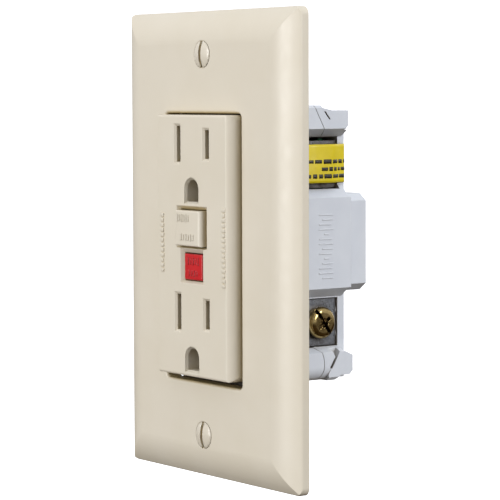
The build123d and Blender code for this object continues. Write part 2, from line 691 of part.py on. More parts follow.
def clamp_plate(side, z):
    """A square plate with two pressure ridges and a clearance hole for its screw."""
    plate = block(CLAMP_SPAN, around(TERMINAL_Y, CLAMP_HALF_WIDTH), around(z, CLAMP_HALF_HEIGHT - 0.05))
    for offset in (-CLAMP_HALF_HEIGHT + 1.2, CLAMP_HALF_HEIGHT - 1.2):
        groove = rod_y(0.35, CLAMP_SPAN[0], z + offset, around(TERMINAL_Y, CLAMP_HALF_WIDTH + 1))
        plate -= groove
    plate -= rod_x(SCREW_SHANK_RADIUS + 0.25, TERMINAL_Y, z, (15, 19))
    return on_side(plate, side)


def drive_recess(height):
    """A slot crossed by a short bar and a square, cut along Z from the top of a screw head."""
    depth = 1.1
    slot = Pos(0, 0, height) * Box(2 * SCREW_HEAD_RADIUS + 1, 1.0, 2 * depth)
    cross = Pos(0, 0, height) * Box(1.0, 4.4, 2 * depth)
    square = Pos(0, 0, height) * Box(2.0, 2.0, 2 * depth + 0.8)
    return slot + cross + square


def binding_screw(tip):
    """A binding-head screw along +Z, its head seated on the origin and its shank below."""
    head_height = 2.5
    head = Pos(0, 0, head_height / 2) * Cylinder(SCREW_HEAD_RADIUS, head_height)
    head = fillet(head.edges().group_by(Axis.Z)[-1], 1.6)
    head = fillet(head.edges().group_by(Axis.Z)[0], 0.25)
    head -= Rot(0, 0, 35) * drive_recess(head_height)
    return head + rod_z(SCREW_SHANK_RADIUS, 0, 0, (-tip, 0.1))


def terminal_screw(side, z):
    screw = binding_screw(6.0)
    return Pos(side * (CLAMP_SPAN[1] + 0.05), TERMINAL_Y, z) * Rot(0, side * 90, 0) * screw


# ---- ground path ----
def ground_contact(outlet_z):
    """A spring clip under the strap that grips the ground pin from both sides."""
    z = outlet_z - GROUND_DROP
    clip = block(both_ways(3.2), (0.05, 0.85), (z + 2.9, z + 6.6))
    clip += block(both_ways(3.2), (0.05, 8.4), (z + 2.9, z + 3.6))
    for side in SIDES:
        clip += on_side(block((2.5, 3.2), (0.85, 8.4), (z - 2.4, z + 3.0)), side)
    return clip - rod_y(0.85, 0, z + 5.0, (-1, 2))


def ground_rivet(outlet_z):
    z = outlet_z - GROUND_DROP + 5.0
    rivet = rod_y(1.5, 0, z, (STRAP_FRONT - 0.5, STRAP_FRONT))
    rivet += rod_y(0.8, 0, z, (STRAP_FRONT - 0.1, 1.0))
    return rivet + rod_y(1.4, 0, z, (0.86, 1.3))


def ground_clamp():
    clamp = block((-15.95, -14.65), around(GROUND_SCREW_Y, 4.4), around(GROUND_SCREW_Z, 2.9))
    return clamp - rod_x(SCREW_SHANK_RADIUS + 0.25, GROUND_SCREW_Y, GROUND_SCREW_Z, (-17, -14))


def ground_screw():
    """A hexagon-head screw with a slot."""
    head_height = 2.4
    head = extrude(RegularPolygon(3.9, 6), amount=head_height)
    head -= Pos(0, 0, head_height) * Box(10, 1.0, 1.8)
    screw = head + rod_z(SCREW_SHANK_RADIUS, 0, 0, (-6.0, 0.1))
    return Pos(-16.0, GROUND_SCREW_Y, GROUND_SCREW_Z) * Rot(0, -90, 0) * screw


# ---- reset latch ----
def contact_carrier():
    """The insulating block that carries both bridge contacts towards the fixed ones."""
    block_z = (-6.4, 7.3)
    carrier = block(both_ways(12.4), CARRIER_BLOCK, block_z)
    carrier -= block((-8.2, -3.4), (10, 20), (4.6, 9))
    carrier -= block((3.4, 8.2), (10, 20), (4.6, 9))
    return carrier - rod_y(1.8, 0, RESET_PIN_Z, (10, 20))


def bridge_contact(side):
    """A brass bridge with a contact point at each end."""
    bridge_y = (CARRIER_BLOCK[0] - 0.85, CARRIER_BLOCK[0] - 0.02)
    upper, lower = CONTACT_Z
    bridge = block(around(side * CONTACT_X, 1.5), bridge_y, (lower - 1.6, upper + 1.6))
    for z in CONTACT_Z:
        bridge += rod_y(1.2, side * CONTACT_X, z, (BRIDGE_CONTACT_FRONT, bridge_y[0] + 0.1))
    return bridge


def latch_slide():
    """A flat steel latch with a slot for the pin, and a flange that the plunger pushes down."""
    slot_radius = 1.75
    stroke = 2.0
    plate = block(both_ways(4.0), LATCH_SPAN, (-2.0, 10.4))
    plate += block(both_ways(3.0), (13.2, LATCH_SPAN[1]), (9.6, 10.4))
    for z in (RESET_PIN_Z, RESET_PIN_Z + stroke):
        plate -= rod_y(slot_radius, 0, z, (15, 19))
    return plate - block(both_ways(slot_radius), (15, 19), (RESET_PIN_Z, RESET_PIN_Z + stroke))


# ---- solenoid ----
def solenoid_bobbin():
    bobbin = rod_z(2.1, 0, SOLENOID_Y, (13.0, 25.0))
    for z_span in ((13.0, 13.8), (24.2, 25.0)):
        bobbin += rod_z(4.2, 0, SOLENOID_Y, z_span)
    return bobbin - rod_z(1.6, 0, SOLENOID_Y, (12, 26))


def solenoid_coil():
    return rod_z(3.9, 0, SOLENOID_Y, (13.85, 24.15)) - rod_z(2.15, 0, SOLENOID_Y, (13, 25))


def solenoid_plunger():
    return rod_z(1.52, 0, SOLENOID_Y, (10.6, 29.3)) + rod_z(3.2, 0, SOLENOID_Y, (29.2, 30.0))


# ---- circuit board and its parts ----
def circuit_board():
    board = block(both_ways(14.2), BOARD_SPAN, (-25.4, 27.0))
    for x in TRANSFORMER_LEADS:
        board -= rod_y(1.0, x, TRANSFORMER_Z, (20, 23))
    return board


def toroid(y_span):
    return rod_y(7.2, TRANSFORMER_X, TRANSFORMER_Z, y_span) - rod_y(4.0, TRANSFORMER_X, TRANSFORMER_Z, y_span)


def transformer_cup():
    """The plastic cup that holds both transformer rings on the board."""
    cup = rod_y(8.2, TRANSFORMER_X, TRANSFORMER_Z, (22.05, 29.4))
    cup -= rod_y(7.4, TRANSFORMER_X, TRANSFORMER_Z, (22.6, 30))
    cup += rod_y(3.8, TRANSFORMER_X, TRANSFORMER_Z, (22.05, 29.4))
    return cup - rod_y(2.9, TRANSFORMER_X, TRANSFORMER_Z, (21, 30))


def sense_conductor(x):
    return rod_y(0.9, x, TRANSFORMER_Z, (17.6, 29.4))


def resistor(x, z):
    body = rod_z(0.9, x, 19.2, around(z, 2.2))
    return body + rod_z(0.3, x, 19.2, around(z, 3.4))


def diode(x, z):
    return rod_x(0.8, 19.3, z, around(x, 1.6)) + rod_x(0.28, 19.3, z, around(x, 2.6))


def film_capacitor():
    case = block((3.0, 16.5), (22.1, 29.2), (-7.4, -0.4))
    return fillet(case.edges().filter_by(Axis.Y), 0.8)


def control_chip():
    chip = block((-8.6, -2.6), (18.2, 20.0), (-16.0, -8.4))
    for index in range(4):
        z = -15.2 + index * 2.0
        chip += block((-9.4, -1.8), (19.0, 20.35), around(z, 0.25))
    return chip


def scr():
    body = rod_y(2.3, 6.0, -11.0, (14.6, 19.0)) & block((3.0, 9.0), (14, 20), (-12.6, -8.0))
    for x in (4.8, 6.0, 7.2):
        body += block(around(x, 0.25), (18.9, 20.35), around(-11.0, 0.25))
    return body


def electrolytic_capacitor():
    return rod_y(3.0, 8.4, 13.5, (12.6, 20.35))


def surge_disc():
    disc = rod_z(4.3, 0, 15.9, (-22.4, -19.4))
    for x in (-2.2, 2.2):
        disc += block(around(x, 0.3), (18.0, 20.35), around(-20.9, 0.3))
    return disc


def test_blade():
    """The leaf that the test button's stem presses on."""
    leaf = block(both_ways(6.0), (4.3, 4.6), around(TEST_PIN_Z, 1.3))
    return leaf + block((5.4, 6.0), (4.5, CARRIER_FLOOR), around(TEST_PIN_Z, 1.3))


def build():
    os.makedirs("parts", exist_ok=True)
    post_x, post_z = CASE_SCREW_AT
    screw_corners = [(x, z) for x in (-post_x, post_x) for z in (-post_z, post_z)]
    save("wall_plate", wall_plate())
    save("plate_screws", plate_screw(PLATE_SCREW_Z), plate_screw(-PLATE_SCREW_Z))
    save("front_cover", front_cover())
    save("mounting_strap", mounting_strap())
    save("mounting_screws", mounting_screw(BOX_SCREW_Z), mounting_screw(-BOX_SCREW_Z))
    save("screw_retainers", screw_retainer(BOX_SCREW_Z), screw_retainer(-BOX_SCREW_Z))
    save("mid_carrier", mid_carrier())
    save("rear_housing", rear_housing())
    save("case_screws", *[case_screw(x, z) for x, z in screw_corners])
    save("load_terminal_tape", load_terminal_tape())

    save("reset_button", reset_button())
    save("reset_pin", reset_pin())
    save("reset_spring", spring_y(2.7, 0.22, 3, 0, RESET_PIN_Z, (-4.85, STRAP_FRONT - 0.05)))
    save("test_button", test_button())
    save("test_spring", spring_y(2.1, 0.2, 3, 0, TEST_PIN_Z, (-4.85, STRAP_FRONT - 0.05)))
    save("test_blade", test_blade())

    for name, side in (("hot", 1), ("neutral", -1)):
        save(f"{name}_load_bar", on_side(load_bar(), side))
        save(f"{name}_line_bar", on_side(line_bar(), side))
        for role, z in (("load", LOAD_Z), ("line", LINE_Z)):
            save(f"{name}_{role}_clamp", clamp_plate(side, z))
            save(f"{name}_{role}_screw", terminal_screw(side, z))
    save("fixed_contacts", *[fixed_contact(side, z) for side in SIDES for z in CONTACT_Z])

    save("ground_contacts", *[ground_contact(z) for z in OUTLETS])
    save("ground_rivets", *[ground_rivet(z) for z in OUTLETS])
    save("ground_clamp", ground_clamp())
    save("ground_screw", ground_screw())

    save("contact_carrier", contact_carrier())
    save("bridge_contacts", bridge_contact(1), bridge_contact(-1))
    spring_room = (CARRIER_BACK + 0.02, CARRIER_BLOCK[0] - 0.02)
    save("carrier_springs", *[spring_y(1.2, 0.18, 3, x, -4.2, spring_room) for x in (-4.6, 4.6)])
    save("latch_slide", latch_slide())

    save("solenoid_bobbin", solenoid_bobbin())
    save("solenoid_coil", solenoid_coil())
    save("solenoid_plunger", solenoid_plunger())
    save("plunger_spring", spring_z(2.5, 0.2, 4, 0, SOLENOID_Y, (25.05, 29.15)))

    save("circuit_board", circuit_board())
    save("sense_transformer", toroid((22.7, 25.7)))
    save("neutral_transformer", toroid((26.0, 29.0)))
    save("transformer_cup", transformer_cup())
    save("sense_conductors", *[sense_conductor(x) for x in TRANSFORMER_LEADS])
    resistor_places = ((-10.4, -19.6), (-8.0, -19.6), (10.2, -19.6), (-8.0, 15.6))
    save("resistors", *[resistor(x, z) for x, z in resistor_places])
    save("diodes", *[diode(x, z) for x in (-8.2, 8.6) for z in (20.6, 23.4)])
    save("film_capacitor", film_capacitor())
    save("electrolytic_capacitor", electrolytic_capacitor())
    save("control_chip", control_chip())
    save("scr", scr())
    save("surge_disc", surge_disc())


build()
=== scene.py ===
import json
import math
import random

import bmesh
import bpy
from mathutils import Matrix, Vector


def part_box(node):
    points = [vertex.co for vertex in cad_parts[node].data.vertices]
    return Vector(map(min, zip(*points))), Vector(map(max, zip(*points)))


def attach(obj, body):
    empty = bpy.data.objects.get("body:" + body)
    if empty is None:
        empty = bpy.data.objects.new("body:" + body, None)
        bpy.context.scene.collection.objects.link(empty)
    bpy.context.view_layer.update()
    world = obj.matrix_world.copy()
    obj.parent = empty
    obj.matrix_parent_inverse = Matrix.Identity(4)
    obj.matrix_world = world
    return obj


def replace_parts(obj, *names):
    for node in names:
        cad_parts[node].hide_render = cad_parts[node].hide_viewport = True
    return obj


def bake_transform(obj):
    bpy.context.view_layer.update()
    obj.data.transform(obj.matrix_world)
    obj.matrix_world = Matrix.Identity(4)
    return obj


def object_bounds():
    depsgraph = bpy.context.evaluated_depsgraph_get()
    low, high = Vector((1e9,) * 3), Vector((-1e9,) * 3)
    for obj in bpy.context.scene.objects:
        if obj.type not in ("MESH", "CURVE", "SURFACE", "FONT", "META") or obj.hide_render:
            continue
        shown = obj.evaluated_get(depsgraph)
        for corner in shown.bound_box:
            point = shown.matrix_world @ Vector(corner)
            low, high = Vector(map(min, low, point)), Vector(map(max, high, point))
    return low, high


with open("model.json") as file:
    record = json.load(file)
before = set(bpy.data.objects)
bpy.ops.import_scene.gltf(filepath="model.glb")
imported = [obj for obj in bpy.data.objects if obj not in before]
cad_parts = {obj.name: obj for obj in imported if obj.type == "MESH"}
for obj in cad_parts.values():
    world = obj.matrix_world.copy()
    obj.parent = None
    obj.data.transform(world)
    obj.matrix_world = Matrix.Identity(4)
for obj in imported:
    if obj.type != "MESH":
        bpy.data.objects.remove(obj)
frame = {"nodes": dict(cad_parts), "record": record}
CAD_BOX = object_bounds()

# A ground-fault receptacle with its wall plate. The face looks towards -Y, +Z is up, +X is the
# user's right, and the body lies behind the plate towards +Y. Lengths are in metres.
MM = 0.001

# ---- camera and room ----
CAMERA_PLACE = (0.4760, -0.3333, 0.0387)
CAMERA_LENS = 164.33
CAMERA_YAW, CAMERA_PITCH, CAMERA_ROLL = 54.26, 3.94, -0.20
FLOOR_DROP = 0.16
FLOOR_FLAT = 1.6
FLOOR_RIM = 3.4
WORLD_LOW = (0.060, 0.040, 0.020)
WORLD_LEVEL = (0.42, 0.42, 0.43)
WORLD_HIGH = (0.80, 0.82, 0.86)

# ---- colours, linear ----
# In each four-colour set below, the darkest colour is painted shade for corners and gaps. The palest lightens
# edges, partly as wear and partly as a painted highlight.
IVORY = (0.655, 0.602, 0.502)
IVORY_SHADE = (0.638, 0.583, 0.478)
IVORY_WORN_HIGHLIGHT = (0.72, 0.68, 0.59)
IVORY_PAINTED_SHADE = (0.36, 0.26, 0.075)
RED = (0.57, 0.010, 0.014)
RED_SHADE = (0.44, 0.006, 0.010)
RED_WORN_HIGHLIGHT = (0.72, 0.05, 0.06)
RED_PAINTED_SHADE = (0.090, 0.003, 0.005)
CASING = (0.66, 0.69, 0.74)
CASING_SHADE = (0.59, 0.62, 0.68)
CASING_WORN_HIGHLIGHT = (0.74, 0.76, 0.79)
CASING_PAINTED_SHADE = (0.19, 0.135, 0.060)
BLACK = (0.018, 0.018, 0.020)
BLACK_SHADE = (0.010, 0.010, 0.012)
BLACK_WORN_HIGHLIGHT = (0.060, 0.060, 0.062)
BLACK_PAINTED_SHADE = (0.004, 0.004, 0.004)
YELLOW = (0.70, 0.56, 0.008)
YELLOW_SHADE = (0.62, 0.49, 0.005)
PRINT_INK = (0.022, 0.020, 0.014)
# The next two colours are painted shade that metal and brass take in their corners and gaps.
METAL_PAINTED_SHADE = (0.060, 0.040, 0.018)
BRASS_PAINTED_SHADE = (0.035, 0.020, 0.006)

# ---- screws: standard spacings, and the 6-32 thread of all four ----
BOX_SCREW_Z, PLATE_SCREW_Z = 41.67 * MM, 48.42 * MM
BOX_SCREW_CUT, PLATE_SCREW_CUT = 0.1 * MM, -3.0 * MM
BOX_SCREW_RADIUS, PLATE_SCREW_RADIUS = 1.7525 * MM, 1.70 * MM
THREAD_PITCH, THREAD_DEPTH = 0.794 * MM, 0.42 * MM
THREAD_AROUND, THREAD_STEPS = 28, 10

# ---- the yellow tape, wrapped round the casing's rear over both load terminals ----
TAPE_REAR = 25.55 * MM
TAPE_LOW, TAPE_HIGH = 16.0 * MM, 25.7 * MM
TAPE_FILM = 0.2 * MM
TAPE_STEPS, TAPE_ROWS = 110, 14
# Each row of bars: its middle height, and where along the tape it starts and ends, as shares.
BAR_ROWS = ((21.35, 0.0, 1.0), (19.45, 0.18, 0.80), (17.65, 0.05, 0.96))
BAR_LENGTHS, BAR_GAPS, BAR_HALF_HEIGHTS = (0.9, 2.6), (0.35, 0.6), (0.42, 0.56)

# ---- plain marks in place of wording: x, top, bottom and number of bars for each column ----
FACE_COLUMNS = ((-13.2, 8.2, -7.3, 12), (14.1, 10.3, -9.8, 16))
FACE_MARK_REACHES = (0.74, 0.60, 0.74, 0.66)
HOUSING_MARKS = 14
HOUSING_MARK_TOP, HOUSING_MARK_SPAN = 8.0, 16.0
HOUSING_MARK_SHAPES = ((17.4, 2.3), (17.9, 1.7), (17.2, 2.0))
HOUSING_SHORT_MARKS, HOUSING_SHORT_SHAPE = (4, 9), (17.6, 0.8)

# ---- lamps: name, place, size and power ----
LAMPS = (
    ("key_light", (0.00, -1.04, 0.15), 0.6, 9.2),
    ("side_light", (0.95, 0.25, 0.34), 0.5, 7.0),
    ("top_light", (0.05, -0.10, 1.15), 0.6, 1.1),
    ("rear_fill", (-0.45, 0.95, 0.35), 0.7, 3.0),
)


class Finish:
    """One material: its node tree, with short calls for what all the finishes share."""

    def __init__(self, name):
        self.material = bpy.data.materials.new(name)
        self.material.use_nodes = True
        self.tree = self.material.node_tree
        self.shader = self.tree.nodes["Principled BSDF"]
        self.place = self.add("ShaderNodeTexCoord").outputs["Object"]

    def add(self, kind, inputs=None, **settings):
        node = self.tree.nodes.new(kind)
        for name, value in settings.items():
            setattr(node, name, value)
        for key, value in (inputs or {}).items():
            self.feed(node.inputs[key], value)
        return node

    def feed(self, socket, value):
        if isinstance(value, bpy.types.NodeSocket):
            self.tree.links.new(value, socket)
        elif isinstance(value, tuple) and len(socket.default_value) == 4:
            socket.default_value = (*value, 1.0)
        else:
            socket.default_value = value

    def set(self, **values):
        """Sets the shader's own sockets; an underscore in a name stands for a space."""
        for name, value in values.items():
            self.feed(self.shader.inputs[name.replace("_", " ")], value)

    def noise(self, size, detail=3.0, stretch=None):
        """Cloudy noise whose blotches are about the given size."""
        place = self.place
        if stretch:
            place = self.add("ShaderNodeMapping", {"Vector": place, "Scale": stretch}).outputs[0]
        settings = {"Vector": place, "Scale": 1 / size, "Detail": detail}
        return self.add("ShaderNodeTexNoise", settings).outputs[0]

    def cells(self, size):
        """One random value per cell, with cells of about the given size."""
        inputs = {"Vector": self.place, "Scale": 1 / size}
        colour = self.add("ShaderNodeTexVoronoi", inputs).outputs["Color"]
        return self.add("ShaderNodeSeparateColor", {0: colour}).outputs[0]

    def spread(self, value, low, high, to_low=0.0, to_high=1.0):
        inputs = {"Value": value, "From Min": low, "From Max": high, "To Min": to_low, "To Max": to_high}
        return self.add("ShaderNodeMapRange", inputs).outputs[0]

    def math(self, operation, a, b):
        return self.add("ShaderNodeMath", {0: a, 1: b}, operation=operation).outputs[0]

    def mix(self, factor, a, b):
        return self.add("ShaderNodeMix", {0: factor, 6: a, 7: b}, data_type="RGBA").outputs[2]

    def bump(self, height, depth, normal=None):
        inputs = {"Height": height, "Distance": depth}
        if normal:
            inputs["Normal"] = normal
        return self.add("ShaderNodeBump", inputs).outputs[0]

    def soft_edge(self, radius):
        """A shading normal that rounds every sharp edge over the given radius."""
        return self.add("ShaderNodeBevel", {"Radius": radius}, samples=4).outputs[0]

    def edges(self, radius):
        """1 along edges and corners, 0 on flat surfaces."""
        flat = self.add("ShaderNodeNewGeometry").outputs["Normal"]
        dot = self.add("ShaderNodeVectorMath", {0: self.soft_edge(radius), 1: flat}, operation="DOT_PRODUCT")
        return self.spread(dot.outputs["Value"], 0.995, 0.80)

    def hollows(self, reach, fully_open, closed):
        """1 deep in corners and gaps, 0 in the open; the last two are the open shares of sky for 0 and 1."""
        shade = self.add("ShaderNodeAmbientOcclusion", {"Distance": reach}, samples=6, only_local=False)
        return self.spread(shade.outputs["AO"], fully_open, closed)


# ---- finishes ----
def moulded(name, colour, shade, worn, deep, gloss, grain, soft=0.25 * MM):
    """Moulded plastic: cloudy colour, fine grain, uneven gloss, soft edges that are lighter partly from wear
    and partly from a painted highlight, and painted shade in the gaps.
    """
    finish = Finish(name)
    clouds = finish.spread(finish.noise(14 * MM, 4.0), 0.35, 0.65)
    colour = finish.mix(clouds, shade, colour)
    specks = finish.spread(finish.noise(0.45 * MM, 2.0), 0.62, 0.75, 0.0, 0.25)
    colour = finish.mix(specks, colour, shade)
    # Edges and corners lighten towards the pale colour, partly as wear and partly as a painted highlight.
    colour = finish.mix(finish.math("MULTIPLY", finish.edges(0.30 * MM), 0.45), colour, worn)
    # Painted shade: an ambient-occlusion mask mixes the dark colour into corners and gaps.
    painted_shade_share = finish.math("MULTIPLY", finish.hollows(5.0 * MM, 0.72, 0.20), 0.8)
    colour = finish.mix(painted_shade_share, colour, deep)
    low, high = gloss
    roughness = finish.spread(finish.noise(2.5 * MM, 5.0), 0.3, 0.7, low, high)
    normal = finish.soft_edge(soft)
    normal = finish.bump(finish.noise(7 * MM, 2.0), 0.030 * MM, normal)
    normal = finish.bump(finish.noise(0.22 * MM, 3.0), grain, normal)
    finish.set(Base_Color=colour, Roughness=roughness, Normal=normal, IOR=1.48)
    return finish


def ivory_plastic():
    return moulded("ivory_plastic", IVORY, IVORY_SHADE, IVORY_WORN_HIGHLIGHT, IVORY_PAINTED_SHADE, (0.30, 0.44), 0.004 * MM)


def ivory_paint():
    """Enamel over a turned screw head: glossier, with thin worn edges that show the steel."""
    finish = moulded(
        "ivory_paint", IVORY, IVORY_SHADE, IVORY_WORN_HIGHLIGHT, IVORY_PAINTED_SHADE, (0.16, 0.30), 0.003 * MM, 0.12 * MM
    )
    chips = finish.math("MULTIPLY", finish.edges(0.10 * MM), finish.spread(finish.noise(0.6 * MM), 0.5, 0.6))
    finish.set(Coat_Weight=0.35, Coat_Roughness=0.12, Metallic=finish.math("MULTIPLY", chips, 0.5))
    return finish


def red_plastic():
    return moulded("red_plastic", RED, RED_SHADE, RED_WORN_HIGHLIGHT, RED_PAINTED_SHADE, (0.24, 0.40), 0.005 * MM)


def white_plastic():
    return moulded(
        "white_plastic", CASING, CASING_SHADE, CASING_WORN_HIGHLIGHT, CASING_PAINTED_SHADE, (0.30, 0.46), 0.005 * MM, 0.22 * MM
    )


def black_plastic():
    return moulded("black_plastic", BLACK, BLACK_SHADE, BLACK_WORN_HIGHLIGHT, BLACK_PAINTED_SHADE, (0.35, 0.55), 0.006 * MM)


def metal(name, bright, dull, gloss, mottle, brush=(1.0, 1.0, 1.0), painted_shade_colour=METAL_PAINTED_SHADE):
    """Plated or bare metal: mottled colour, brushed bump, polished edges and painted shade in the gaps."""
    finish = Finish(name)
    patches = finish.spread(finish.noise(mottle, 6.0), 0.35, 0.65)
    colour = finish.mix(patches, dull, bright)
    colour = finish.mix(finish.math("MULTIPLY", finish.cells(0.6 * mottle), 0.30), colour, dull)
    colour = finish.mix(finish.math("MULTIPLY", finish.edges(0.15 * MM), 0.5), colour, bright)
    # Painted shade: an ambient-occlusion mask mixes a dark brown into corners and gaps.
    painted_shade_share = finish.math("MULTIPLY", finish.hollows(4.0 * MM, 0.90, 0.42), 0.9)
    colour = finish.mix(painted_shade_share, colour, painted_shade_colour)
    low, high = gloss
    streaks = finish.noise(0.5 * MM, 4.0, brush)
    roughness = finish.spread(finish.math("ADD", streaks, patches), 0.5, 1.5, high, low)
    normal = finish.soft_edge(0.12 * MM)
    normal = finish.bump(streaks, 0.012 * MM, normal)
    normal = finish.bump(finish.noise(1.8 * MM, 3.0), 0.020 * MM, normal)
    finish.set(Base_Color=colour, Roughness=roughness, Normal=normal, Metallic=1.0)
    return finish


def zinc_steel():
    return metal("zinc_steel", (0.48, 0.51, 0.56), (0.17, 0.185, 0.215), (0.26, 0.48), 1.7 * MM)


def spring_steel():
    return metal("spring_steel", (0.60, 0.60, 0.60), (0.38, 0.38, 0.38), (0.20, 0.34), 0.5 * MM)


def brass():
    bright, dull = (0.66, 0.49, 0.22), (0.30, 0.215, 0.080)
    return metal("brass", bright, dull, (0.09, 0.20), 2.4 * MM, painted_shade_colour=BRASS_PAINTED_SHADE)


def nickel():
    return metal("nickel", (0.80, 0.79, 0.75), (0.56, 0.55, 0.52), (0.14, 0.30), 1.6 * MM)


def soft_iron():
    return metal("soft_iron", (0.42, 0.42, 0.43), (0.24, 0.24, 0.25), (0.30, 0.5), 0.8 * MM, (1.0, 1.0, 0.05))


def green_screw():
    """Green dye over zinc, paler along the worn edges."""
    return metal("green_screw", (0.03, 0.30, 0.10), (0.015, 0.17, 0.06), (0.22, 0.40), 1.0 * MM)


def yellow_tape():
    """Vinyl film: fine weave-free grain, slow ripples and slightly uneven dye."""
    finish = Finish("yellow_tape")
    clouds = finish.spread(finish.noise(5 * MM, 4.0), 0.35, 0.65)
    colour = finish.mix(clouds, YELLOW_SHADE, YELLOW)
    fibres = finish.noise(0.35 * MM, 3.0, (1.0, 0.25, 4.0))
    colour = finish.mix(finish.spread(fibres, 0.55, 0.75, 0.0, 0.35), colour, YELLOW_SHADE)
    normal = finish.bump(finish.noise(3.0 * MM, 2.0), 0.060 * MM)
    normal = finish.bump(fibres, 0.006 * MM, normal)
    roughness = finish.spread(finish.noise(1.5 * MM), 0.3, 0.7, 0.34, 0.52)
    finish.set(Base_Color=colour, Roughness=roughness, Normal=normal)
    return finish


def tape_ink():
    finish = Finish("tape_ink")
    worn = finish.spread(finish.noise(0.3 * MM, 4.0), 0.60, 0.72, 0.0, 0.5)
    finish.set(Base_Color=finish.mix(worn, PRINT_INK, YELLOW_SHADE))
    finish.set(Roughness=finish.spread(finish.noise(0.8 * MM), 0.3, 0.7, 0.35, 0.6))
    finish.set(Normal=finish.bump(finish.noise(0.2 * MM), 0.004 * MM))
    return finish


def fibre():
    """Pressed fibre board with short dark strands."""
    finish = Finish("fibre")
    strands = finish.noise(0.5 * MM, 5.0, (1.0, 1.0, 0.2))
    colour = finish.mix(finish.spread(strands, 0.35, 0.65), (0.050, 0.035, 0.028), (0.12, 0.085, 0.065))
    finish.set(Base_Color=colour, Roughness=finish.spread(strands, 0.3, 0.7, 0.65, 0.9))
    finish.set(Normal=finish.bump(strands, 0.03 * MM))
    return finish


def copper_winding():
    """Enamelled wire: mottled copper with fine streaks and a glassy coat."""
    finish = metal("copper_winding", (0.72, 0.30, 0.13), (0.46, 0.17, 0.07), (0.16, 0.30), 0.6 * MM)
    finish.set(Coat_Weight=0.5, Coat_Roughness=0.12)
    return finish


def board():
    """Green solder mask over a woven glass board, with pale copper tracks under it."""
    finish = Finish("board")
    threads = {"Vector": finish.place, "Scale": 320.0, "Distortion": 0.4}
    weave_x = finish.add("ShaderNodeTexWave", threads, bands_direction="X").outputs[1]
    weave_z = finish.add("ShaderNodeTexWave", threads, bands_direction="Z").outputs[1]
    weave = finish.math("MULTIPLY", weave_x, weave_z)
    tracks = finish.spread(finish.cells(3.2 * MM), 0.52, 0.55)
    colour = finish.mix(tracks, (0.010, 0.085, 0.030), (0.022, 0.150, 0.055))
    colour = finish.mix(finish.math("MULTIPLY", weave, 0.35), colour, (0.035, 0.19, 0.08))
    normal = finish.bump(tracks, 0.035 * MM)
    normal = finish.bump(weave, 0.008 * MM, normal)
    finish.set(Base_Color=colour, Roughness=finish.spread(weave, 0.0, 1.0, 0.22, 0.38), Normal=normal)
    return finish


def component_body():
    shell, shade, worn = (0.045, 0.13, 0.36), (0.03, 0.09, 0.26), (0.12, 0.22, 0.45)
    return moulded("component_body", shell, shade, worn, BLACK_PAINTED_SHADE, (0.16, 0.32), 0.004 * MM)


def floor_finish():
    """A pale sweep that glows a little, as if lit by lamps of its own."""
    finish = Finish("floor")
    clouds = finish.noise(180 * MM, 3.0)
    tint = finish.mix(clouds, (0.95, 0.95, 0.95), (0.97, 0.97, 0.97))
    finish.set(Base_Color=tint, Emission_Color=tint, Emission_Strength=0.72)
    finish.set(Roughness=finish.spread(clouds, 0.3, 0.7, 0.8, 0.95))
    return finish


FINISHES = {
    "ivory_plastic": ivory_plastic,
    "ivory_paint": ivory_paint,
    "red_plastic": red_plastic,
    "white_plastic": white_plastic,
    "zinc_steel": zinc_steel,
    "spring_steel": spring_steel,
    "brass": brass,
    "nickel": nickel,
    "green_screw": green_screw,
    "yellow_tape": yellow_tape,
    "tape_ink": tape_ink,
    "fibre": fibre,
    "black_plastic": black_plastic,
    "copper_winding": copper_winding,
    "soft_iron": soft_iron,
    "board": board,
    "component_body": component_body,
}
MATERIALS = {name: make().material for name, make in FINISHES.items()}


def dress_nodes():
    """Gives every node of the frame the finish of its own slot."""
    for part in frame["record"]["subparts"]:
        mesh = frame["nodes"][part["node"]].data
        mesh.materials.clear()
        mesh.materials.append(MATERIALS[part["material_slot"]])


# ---- mesh helpers ----
def new_piece(name, vertices, faces, material):
    mesh = bpy.data.meshes.new(name)
    mesh.from_pydata(vertices, [], faces)
    mesh.materials.append(material)
    for polygon in mesh.polygons:
        polygon.use_smooth = True
    piece = bpy.data.objects.new(name, mesh)
    bpy.context.collection.objects.link(piece)
    return piece


def closed_grid(columns, rows, outer, inner):
    """Faces and points of a thin closed sheet; outer and inner give a point for (column, row)."""
    points = [outer(i, j) for i in range(columns + 1) for j in range(rows + 1)]
    points += [inner(i, j) for i in range(columns + 1) for j in range(rows + 1)]
    half = (columns + 1) * (rows + 1)

    def at(i, j, back=0):
        return i * (rows + 1) + j + back * half

    faces = []
    for i in range(columns):
        for j in range(rows):
            faces.append((at(i, j), at(i + 1, j), at(i + 1, j + 1), at(i, j + 1)))
            faces.append((at(i, j + 1, 1), at(i + 1, j + 1, 1), at(i + 1, j, 1), at(i, j, 1)))
    for i in range(columns):
        faces.append((at(i + 1, 0), at(i, 0), at(i, 0, 1), at(i + 1, 0, 1)))
        faces.append((at(i, rows), at(i + 1, rows), at(i + 1, rows, 1), at(i, rows, 1)))
    for j in range(rows):
        faces.append((at(0, j), at(0, j + 1), at(0, j + 1, 1), at(0, j, 1)))
        faces.append((at(columns, j + 1), at(columns, j), at(columns, j, 1), at(columns, j + 1, 1)))
    return points, faces


def tidy_normals(piece):
    """Turns every face outwards."""
    mesh = bmesh.new()
    mesh.from_mesh(piece.data)
    bmesh.ops.recalc_face_normals(mesh, faces=mesh.faces)
    mesh.to_mesh(piece.data)
    mesh.free()


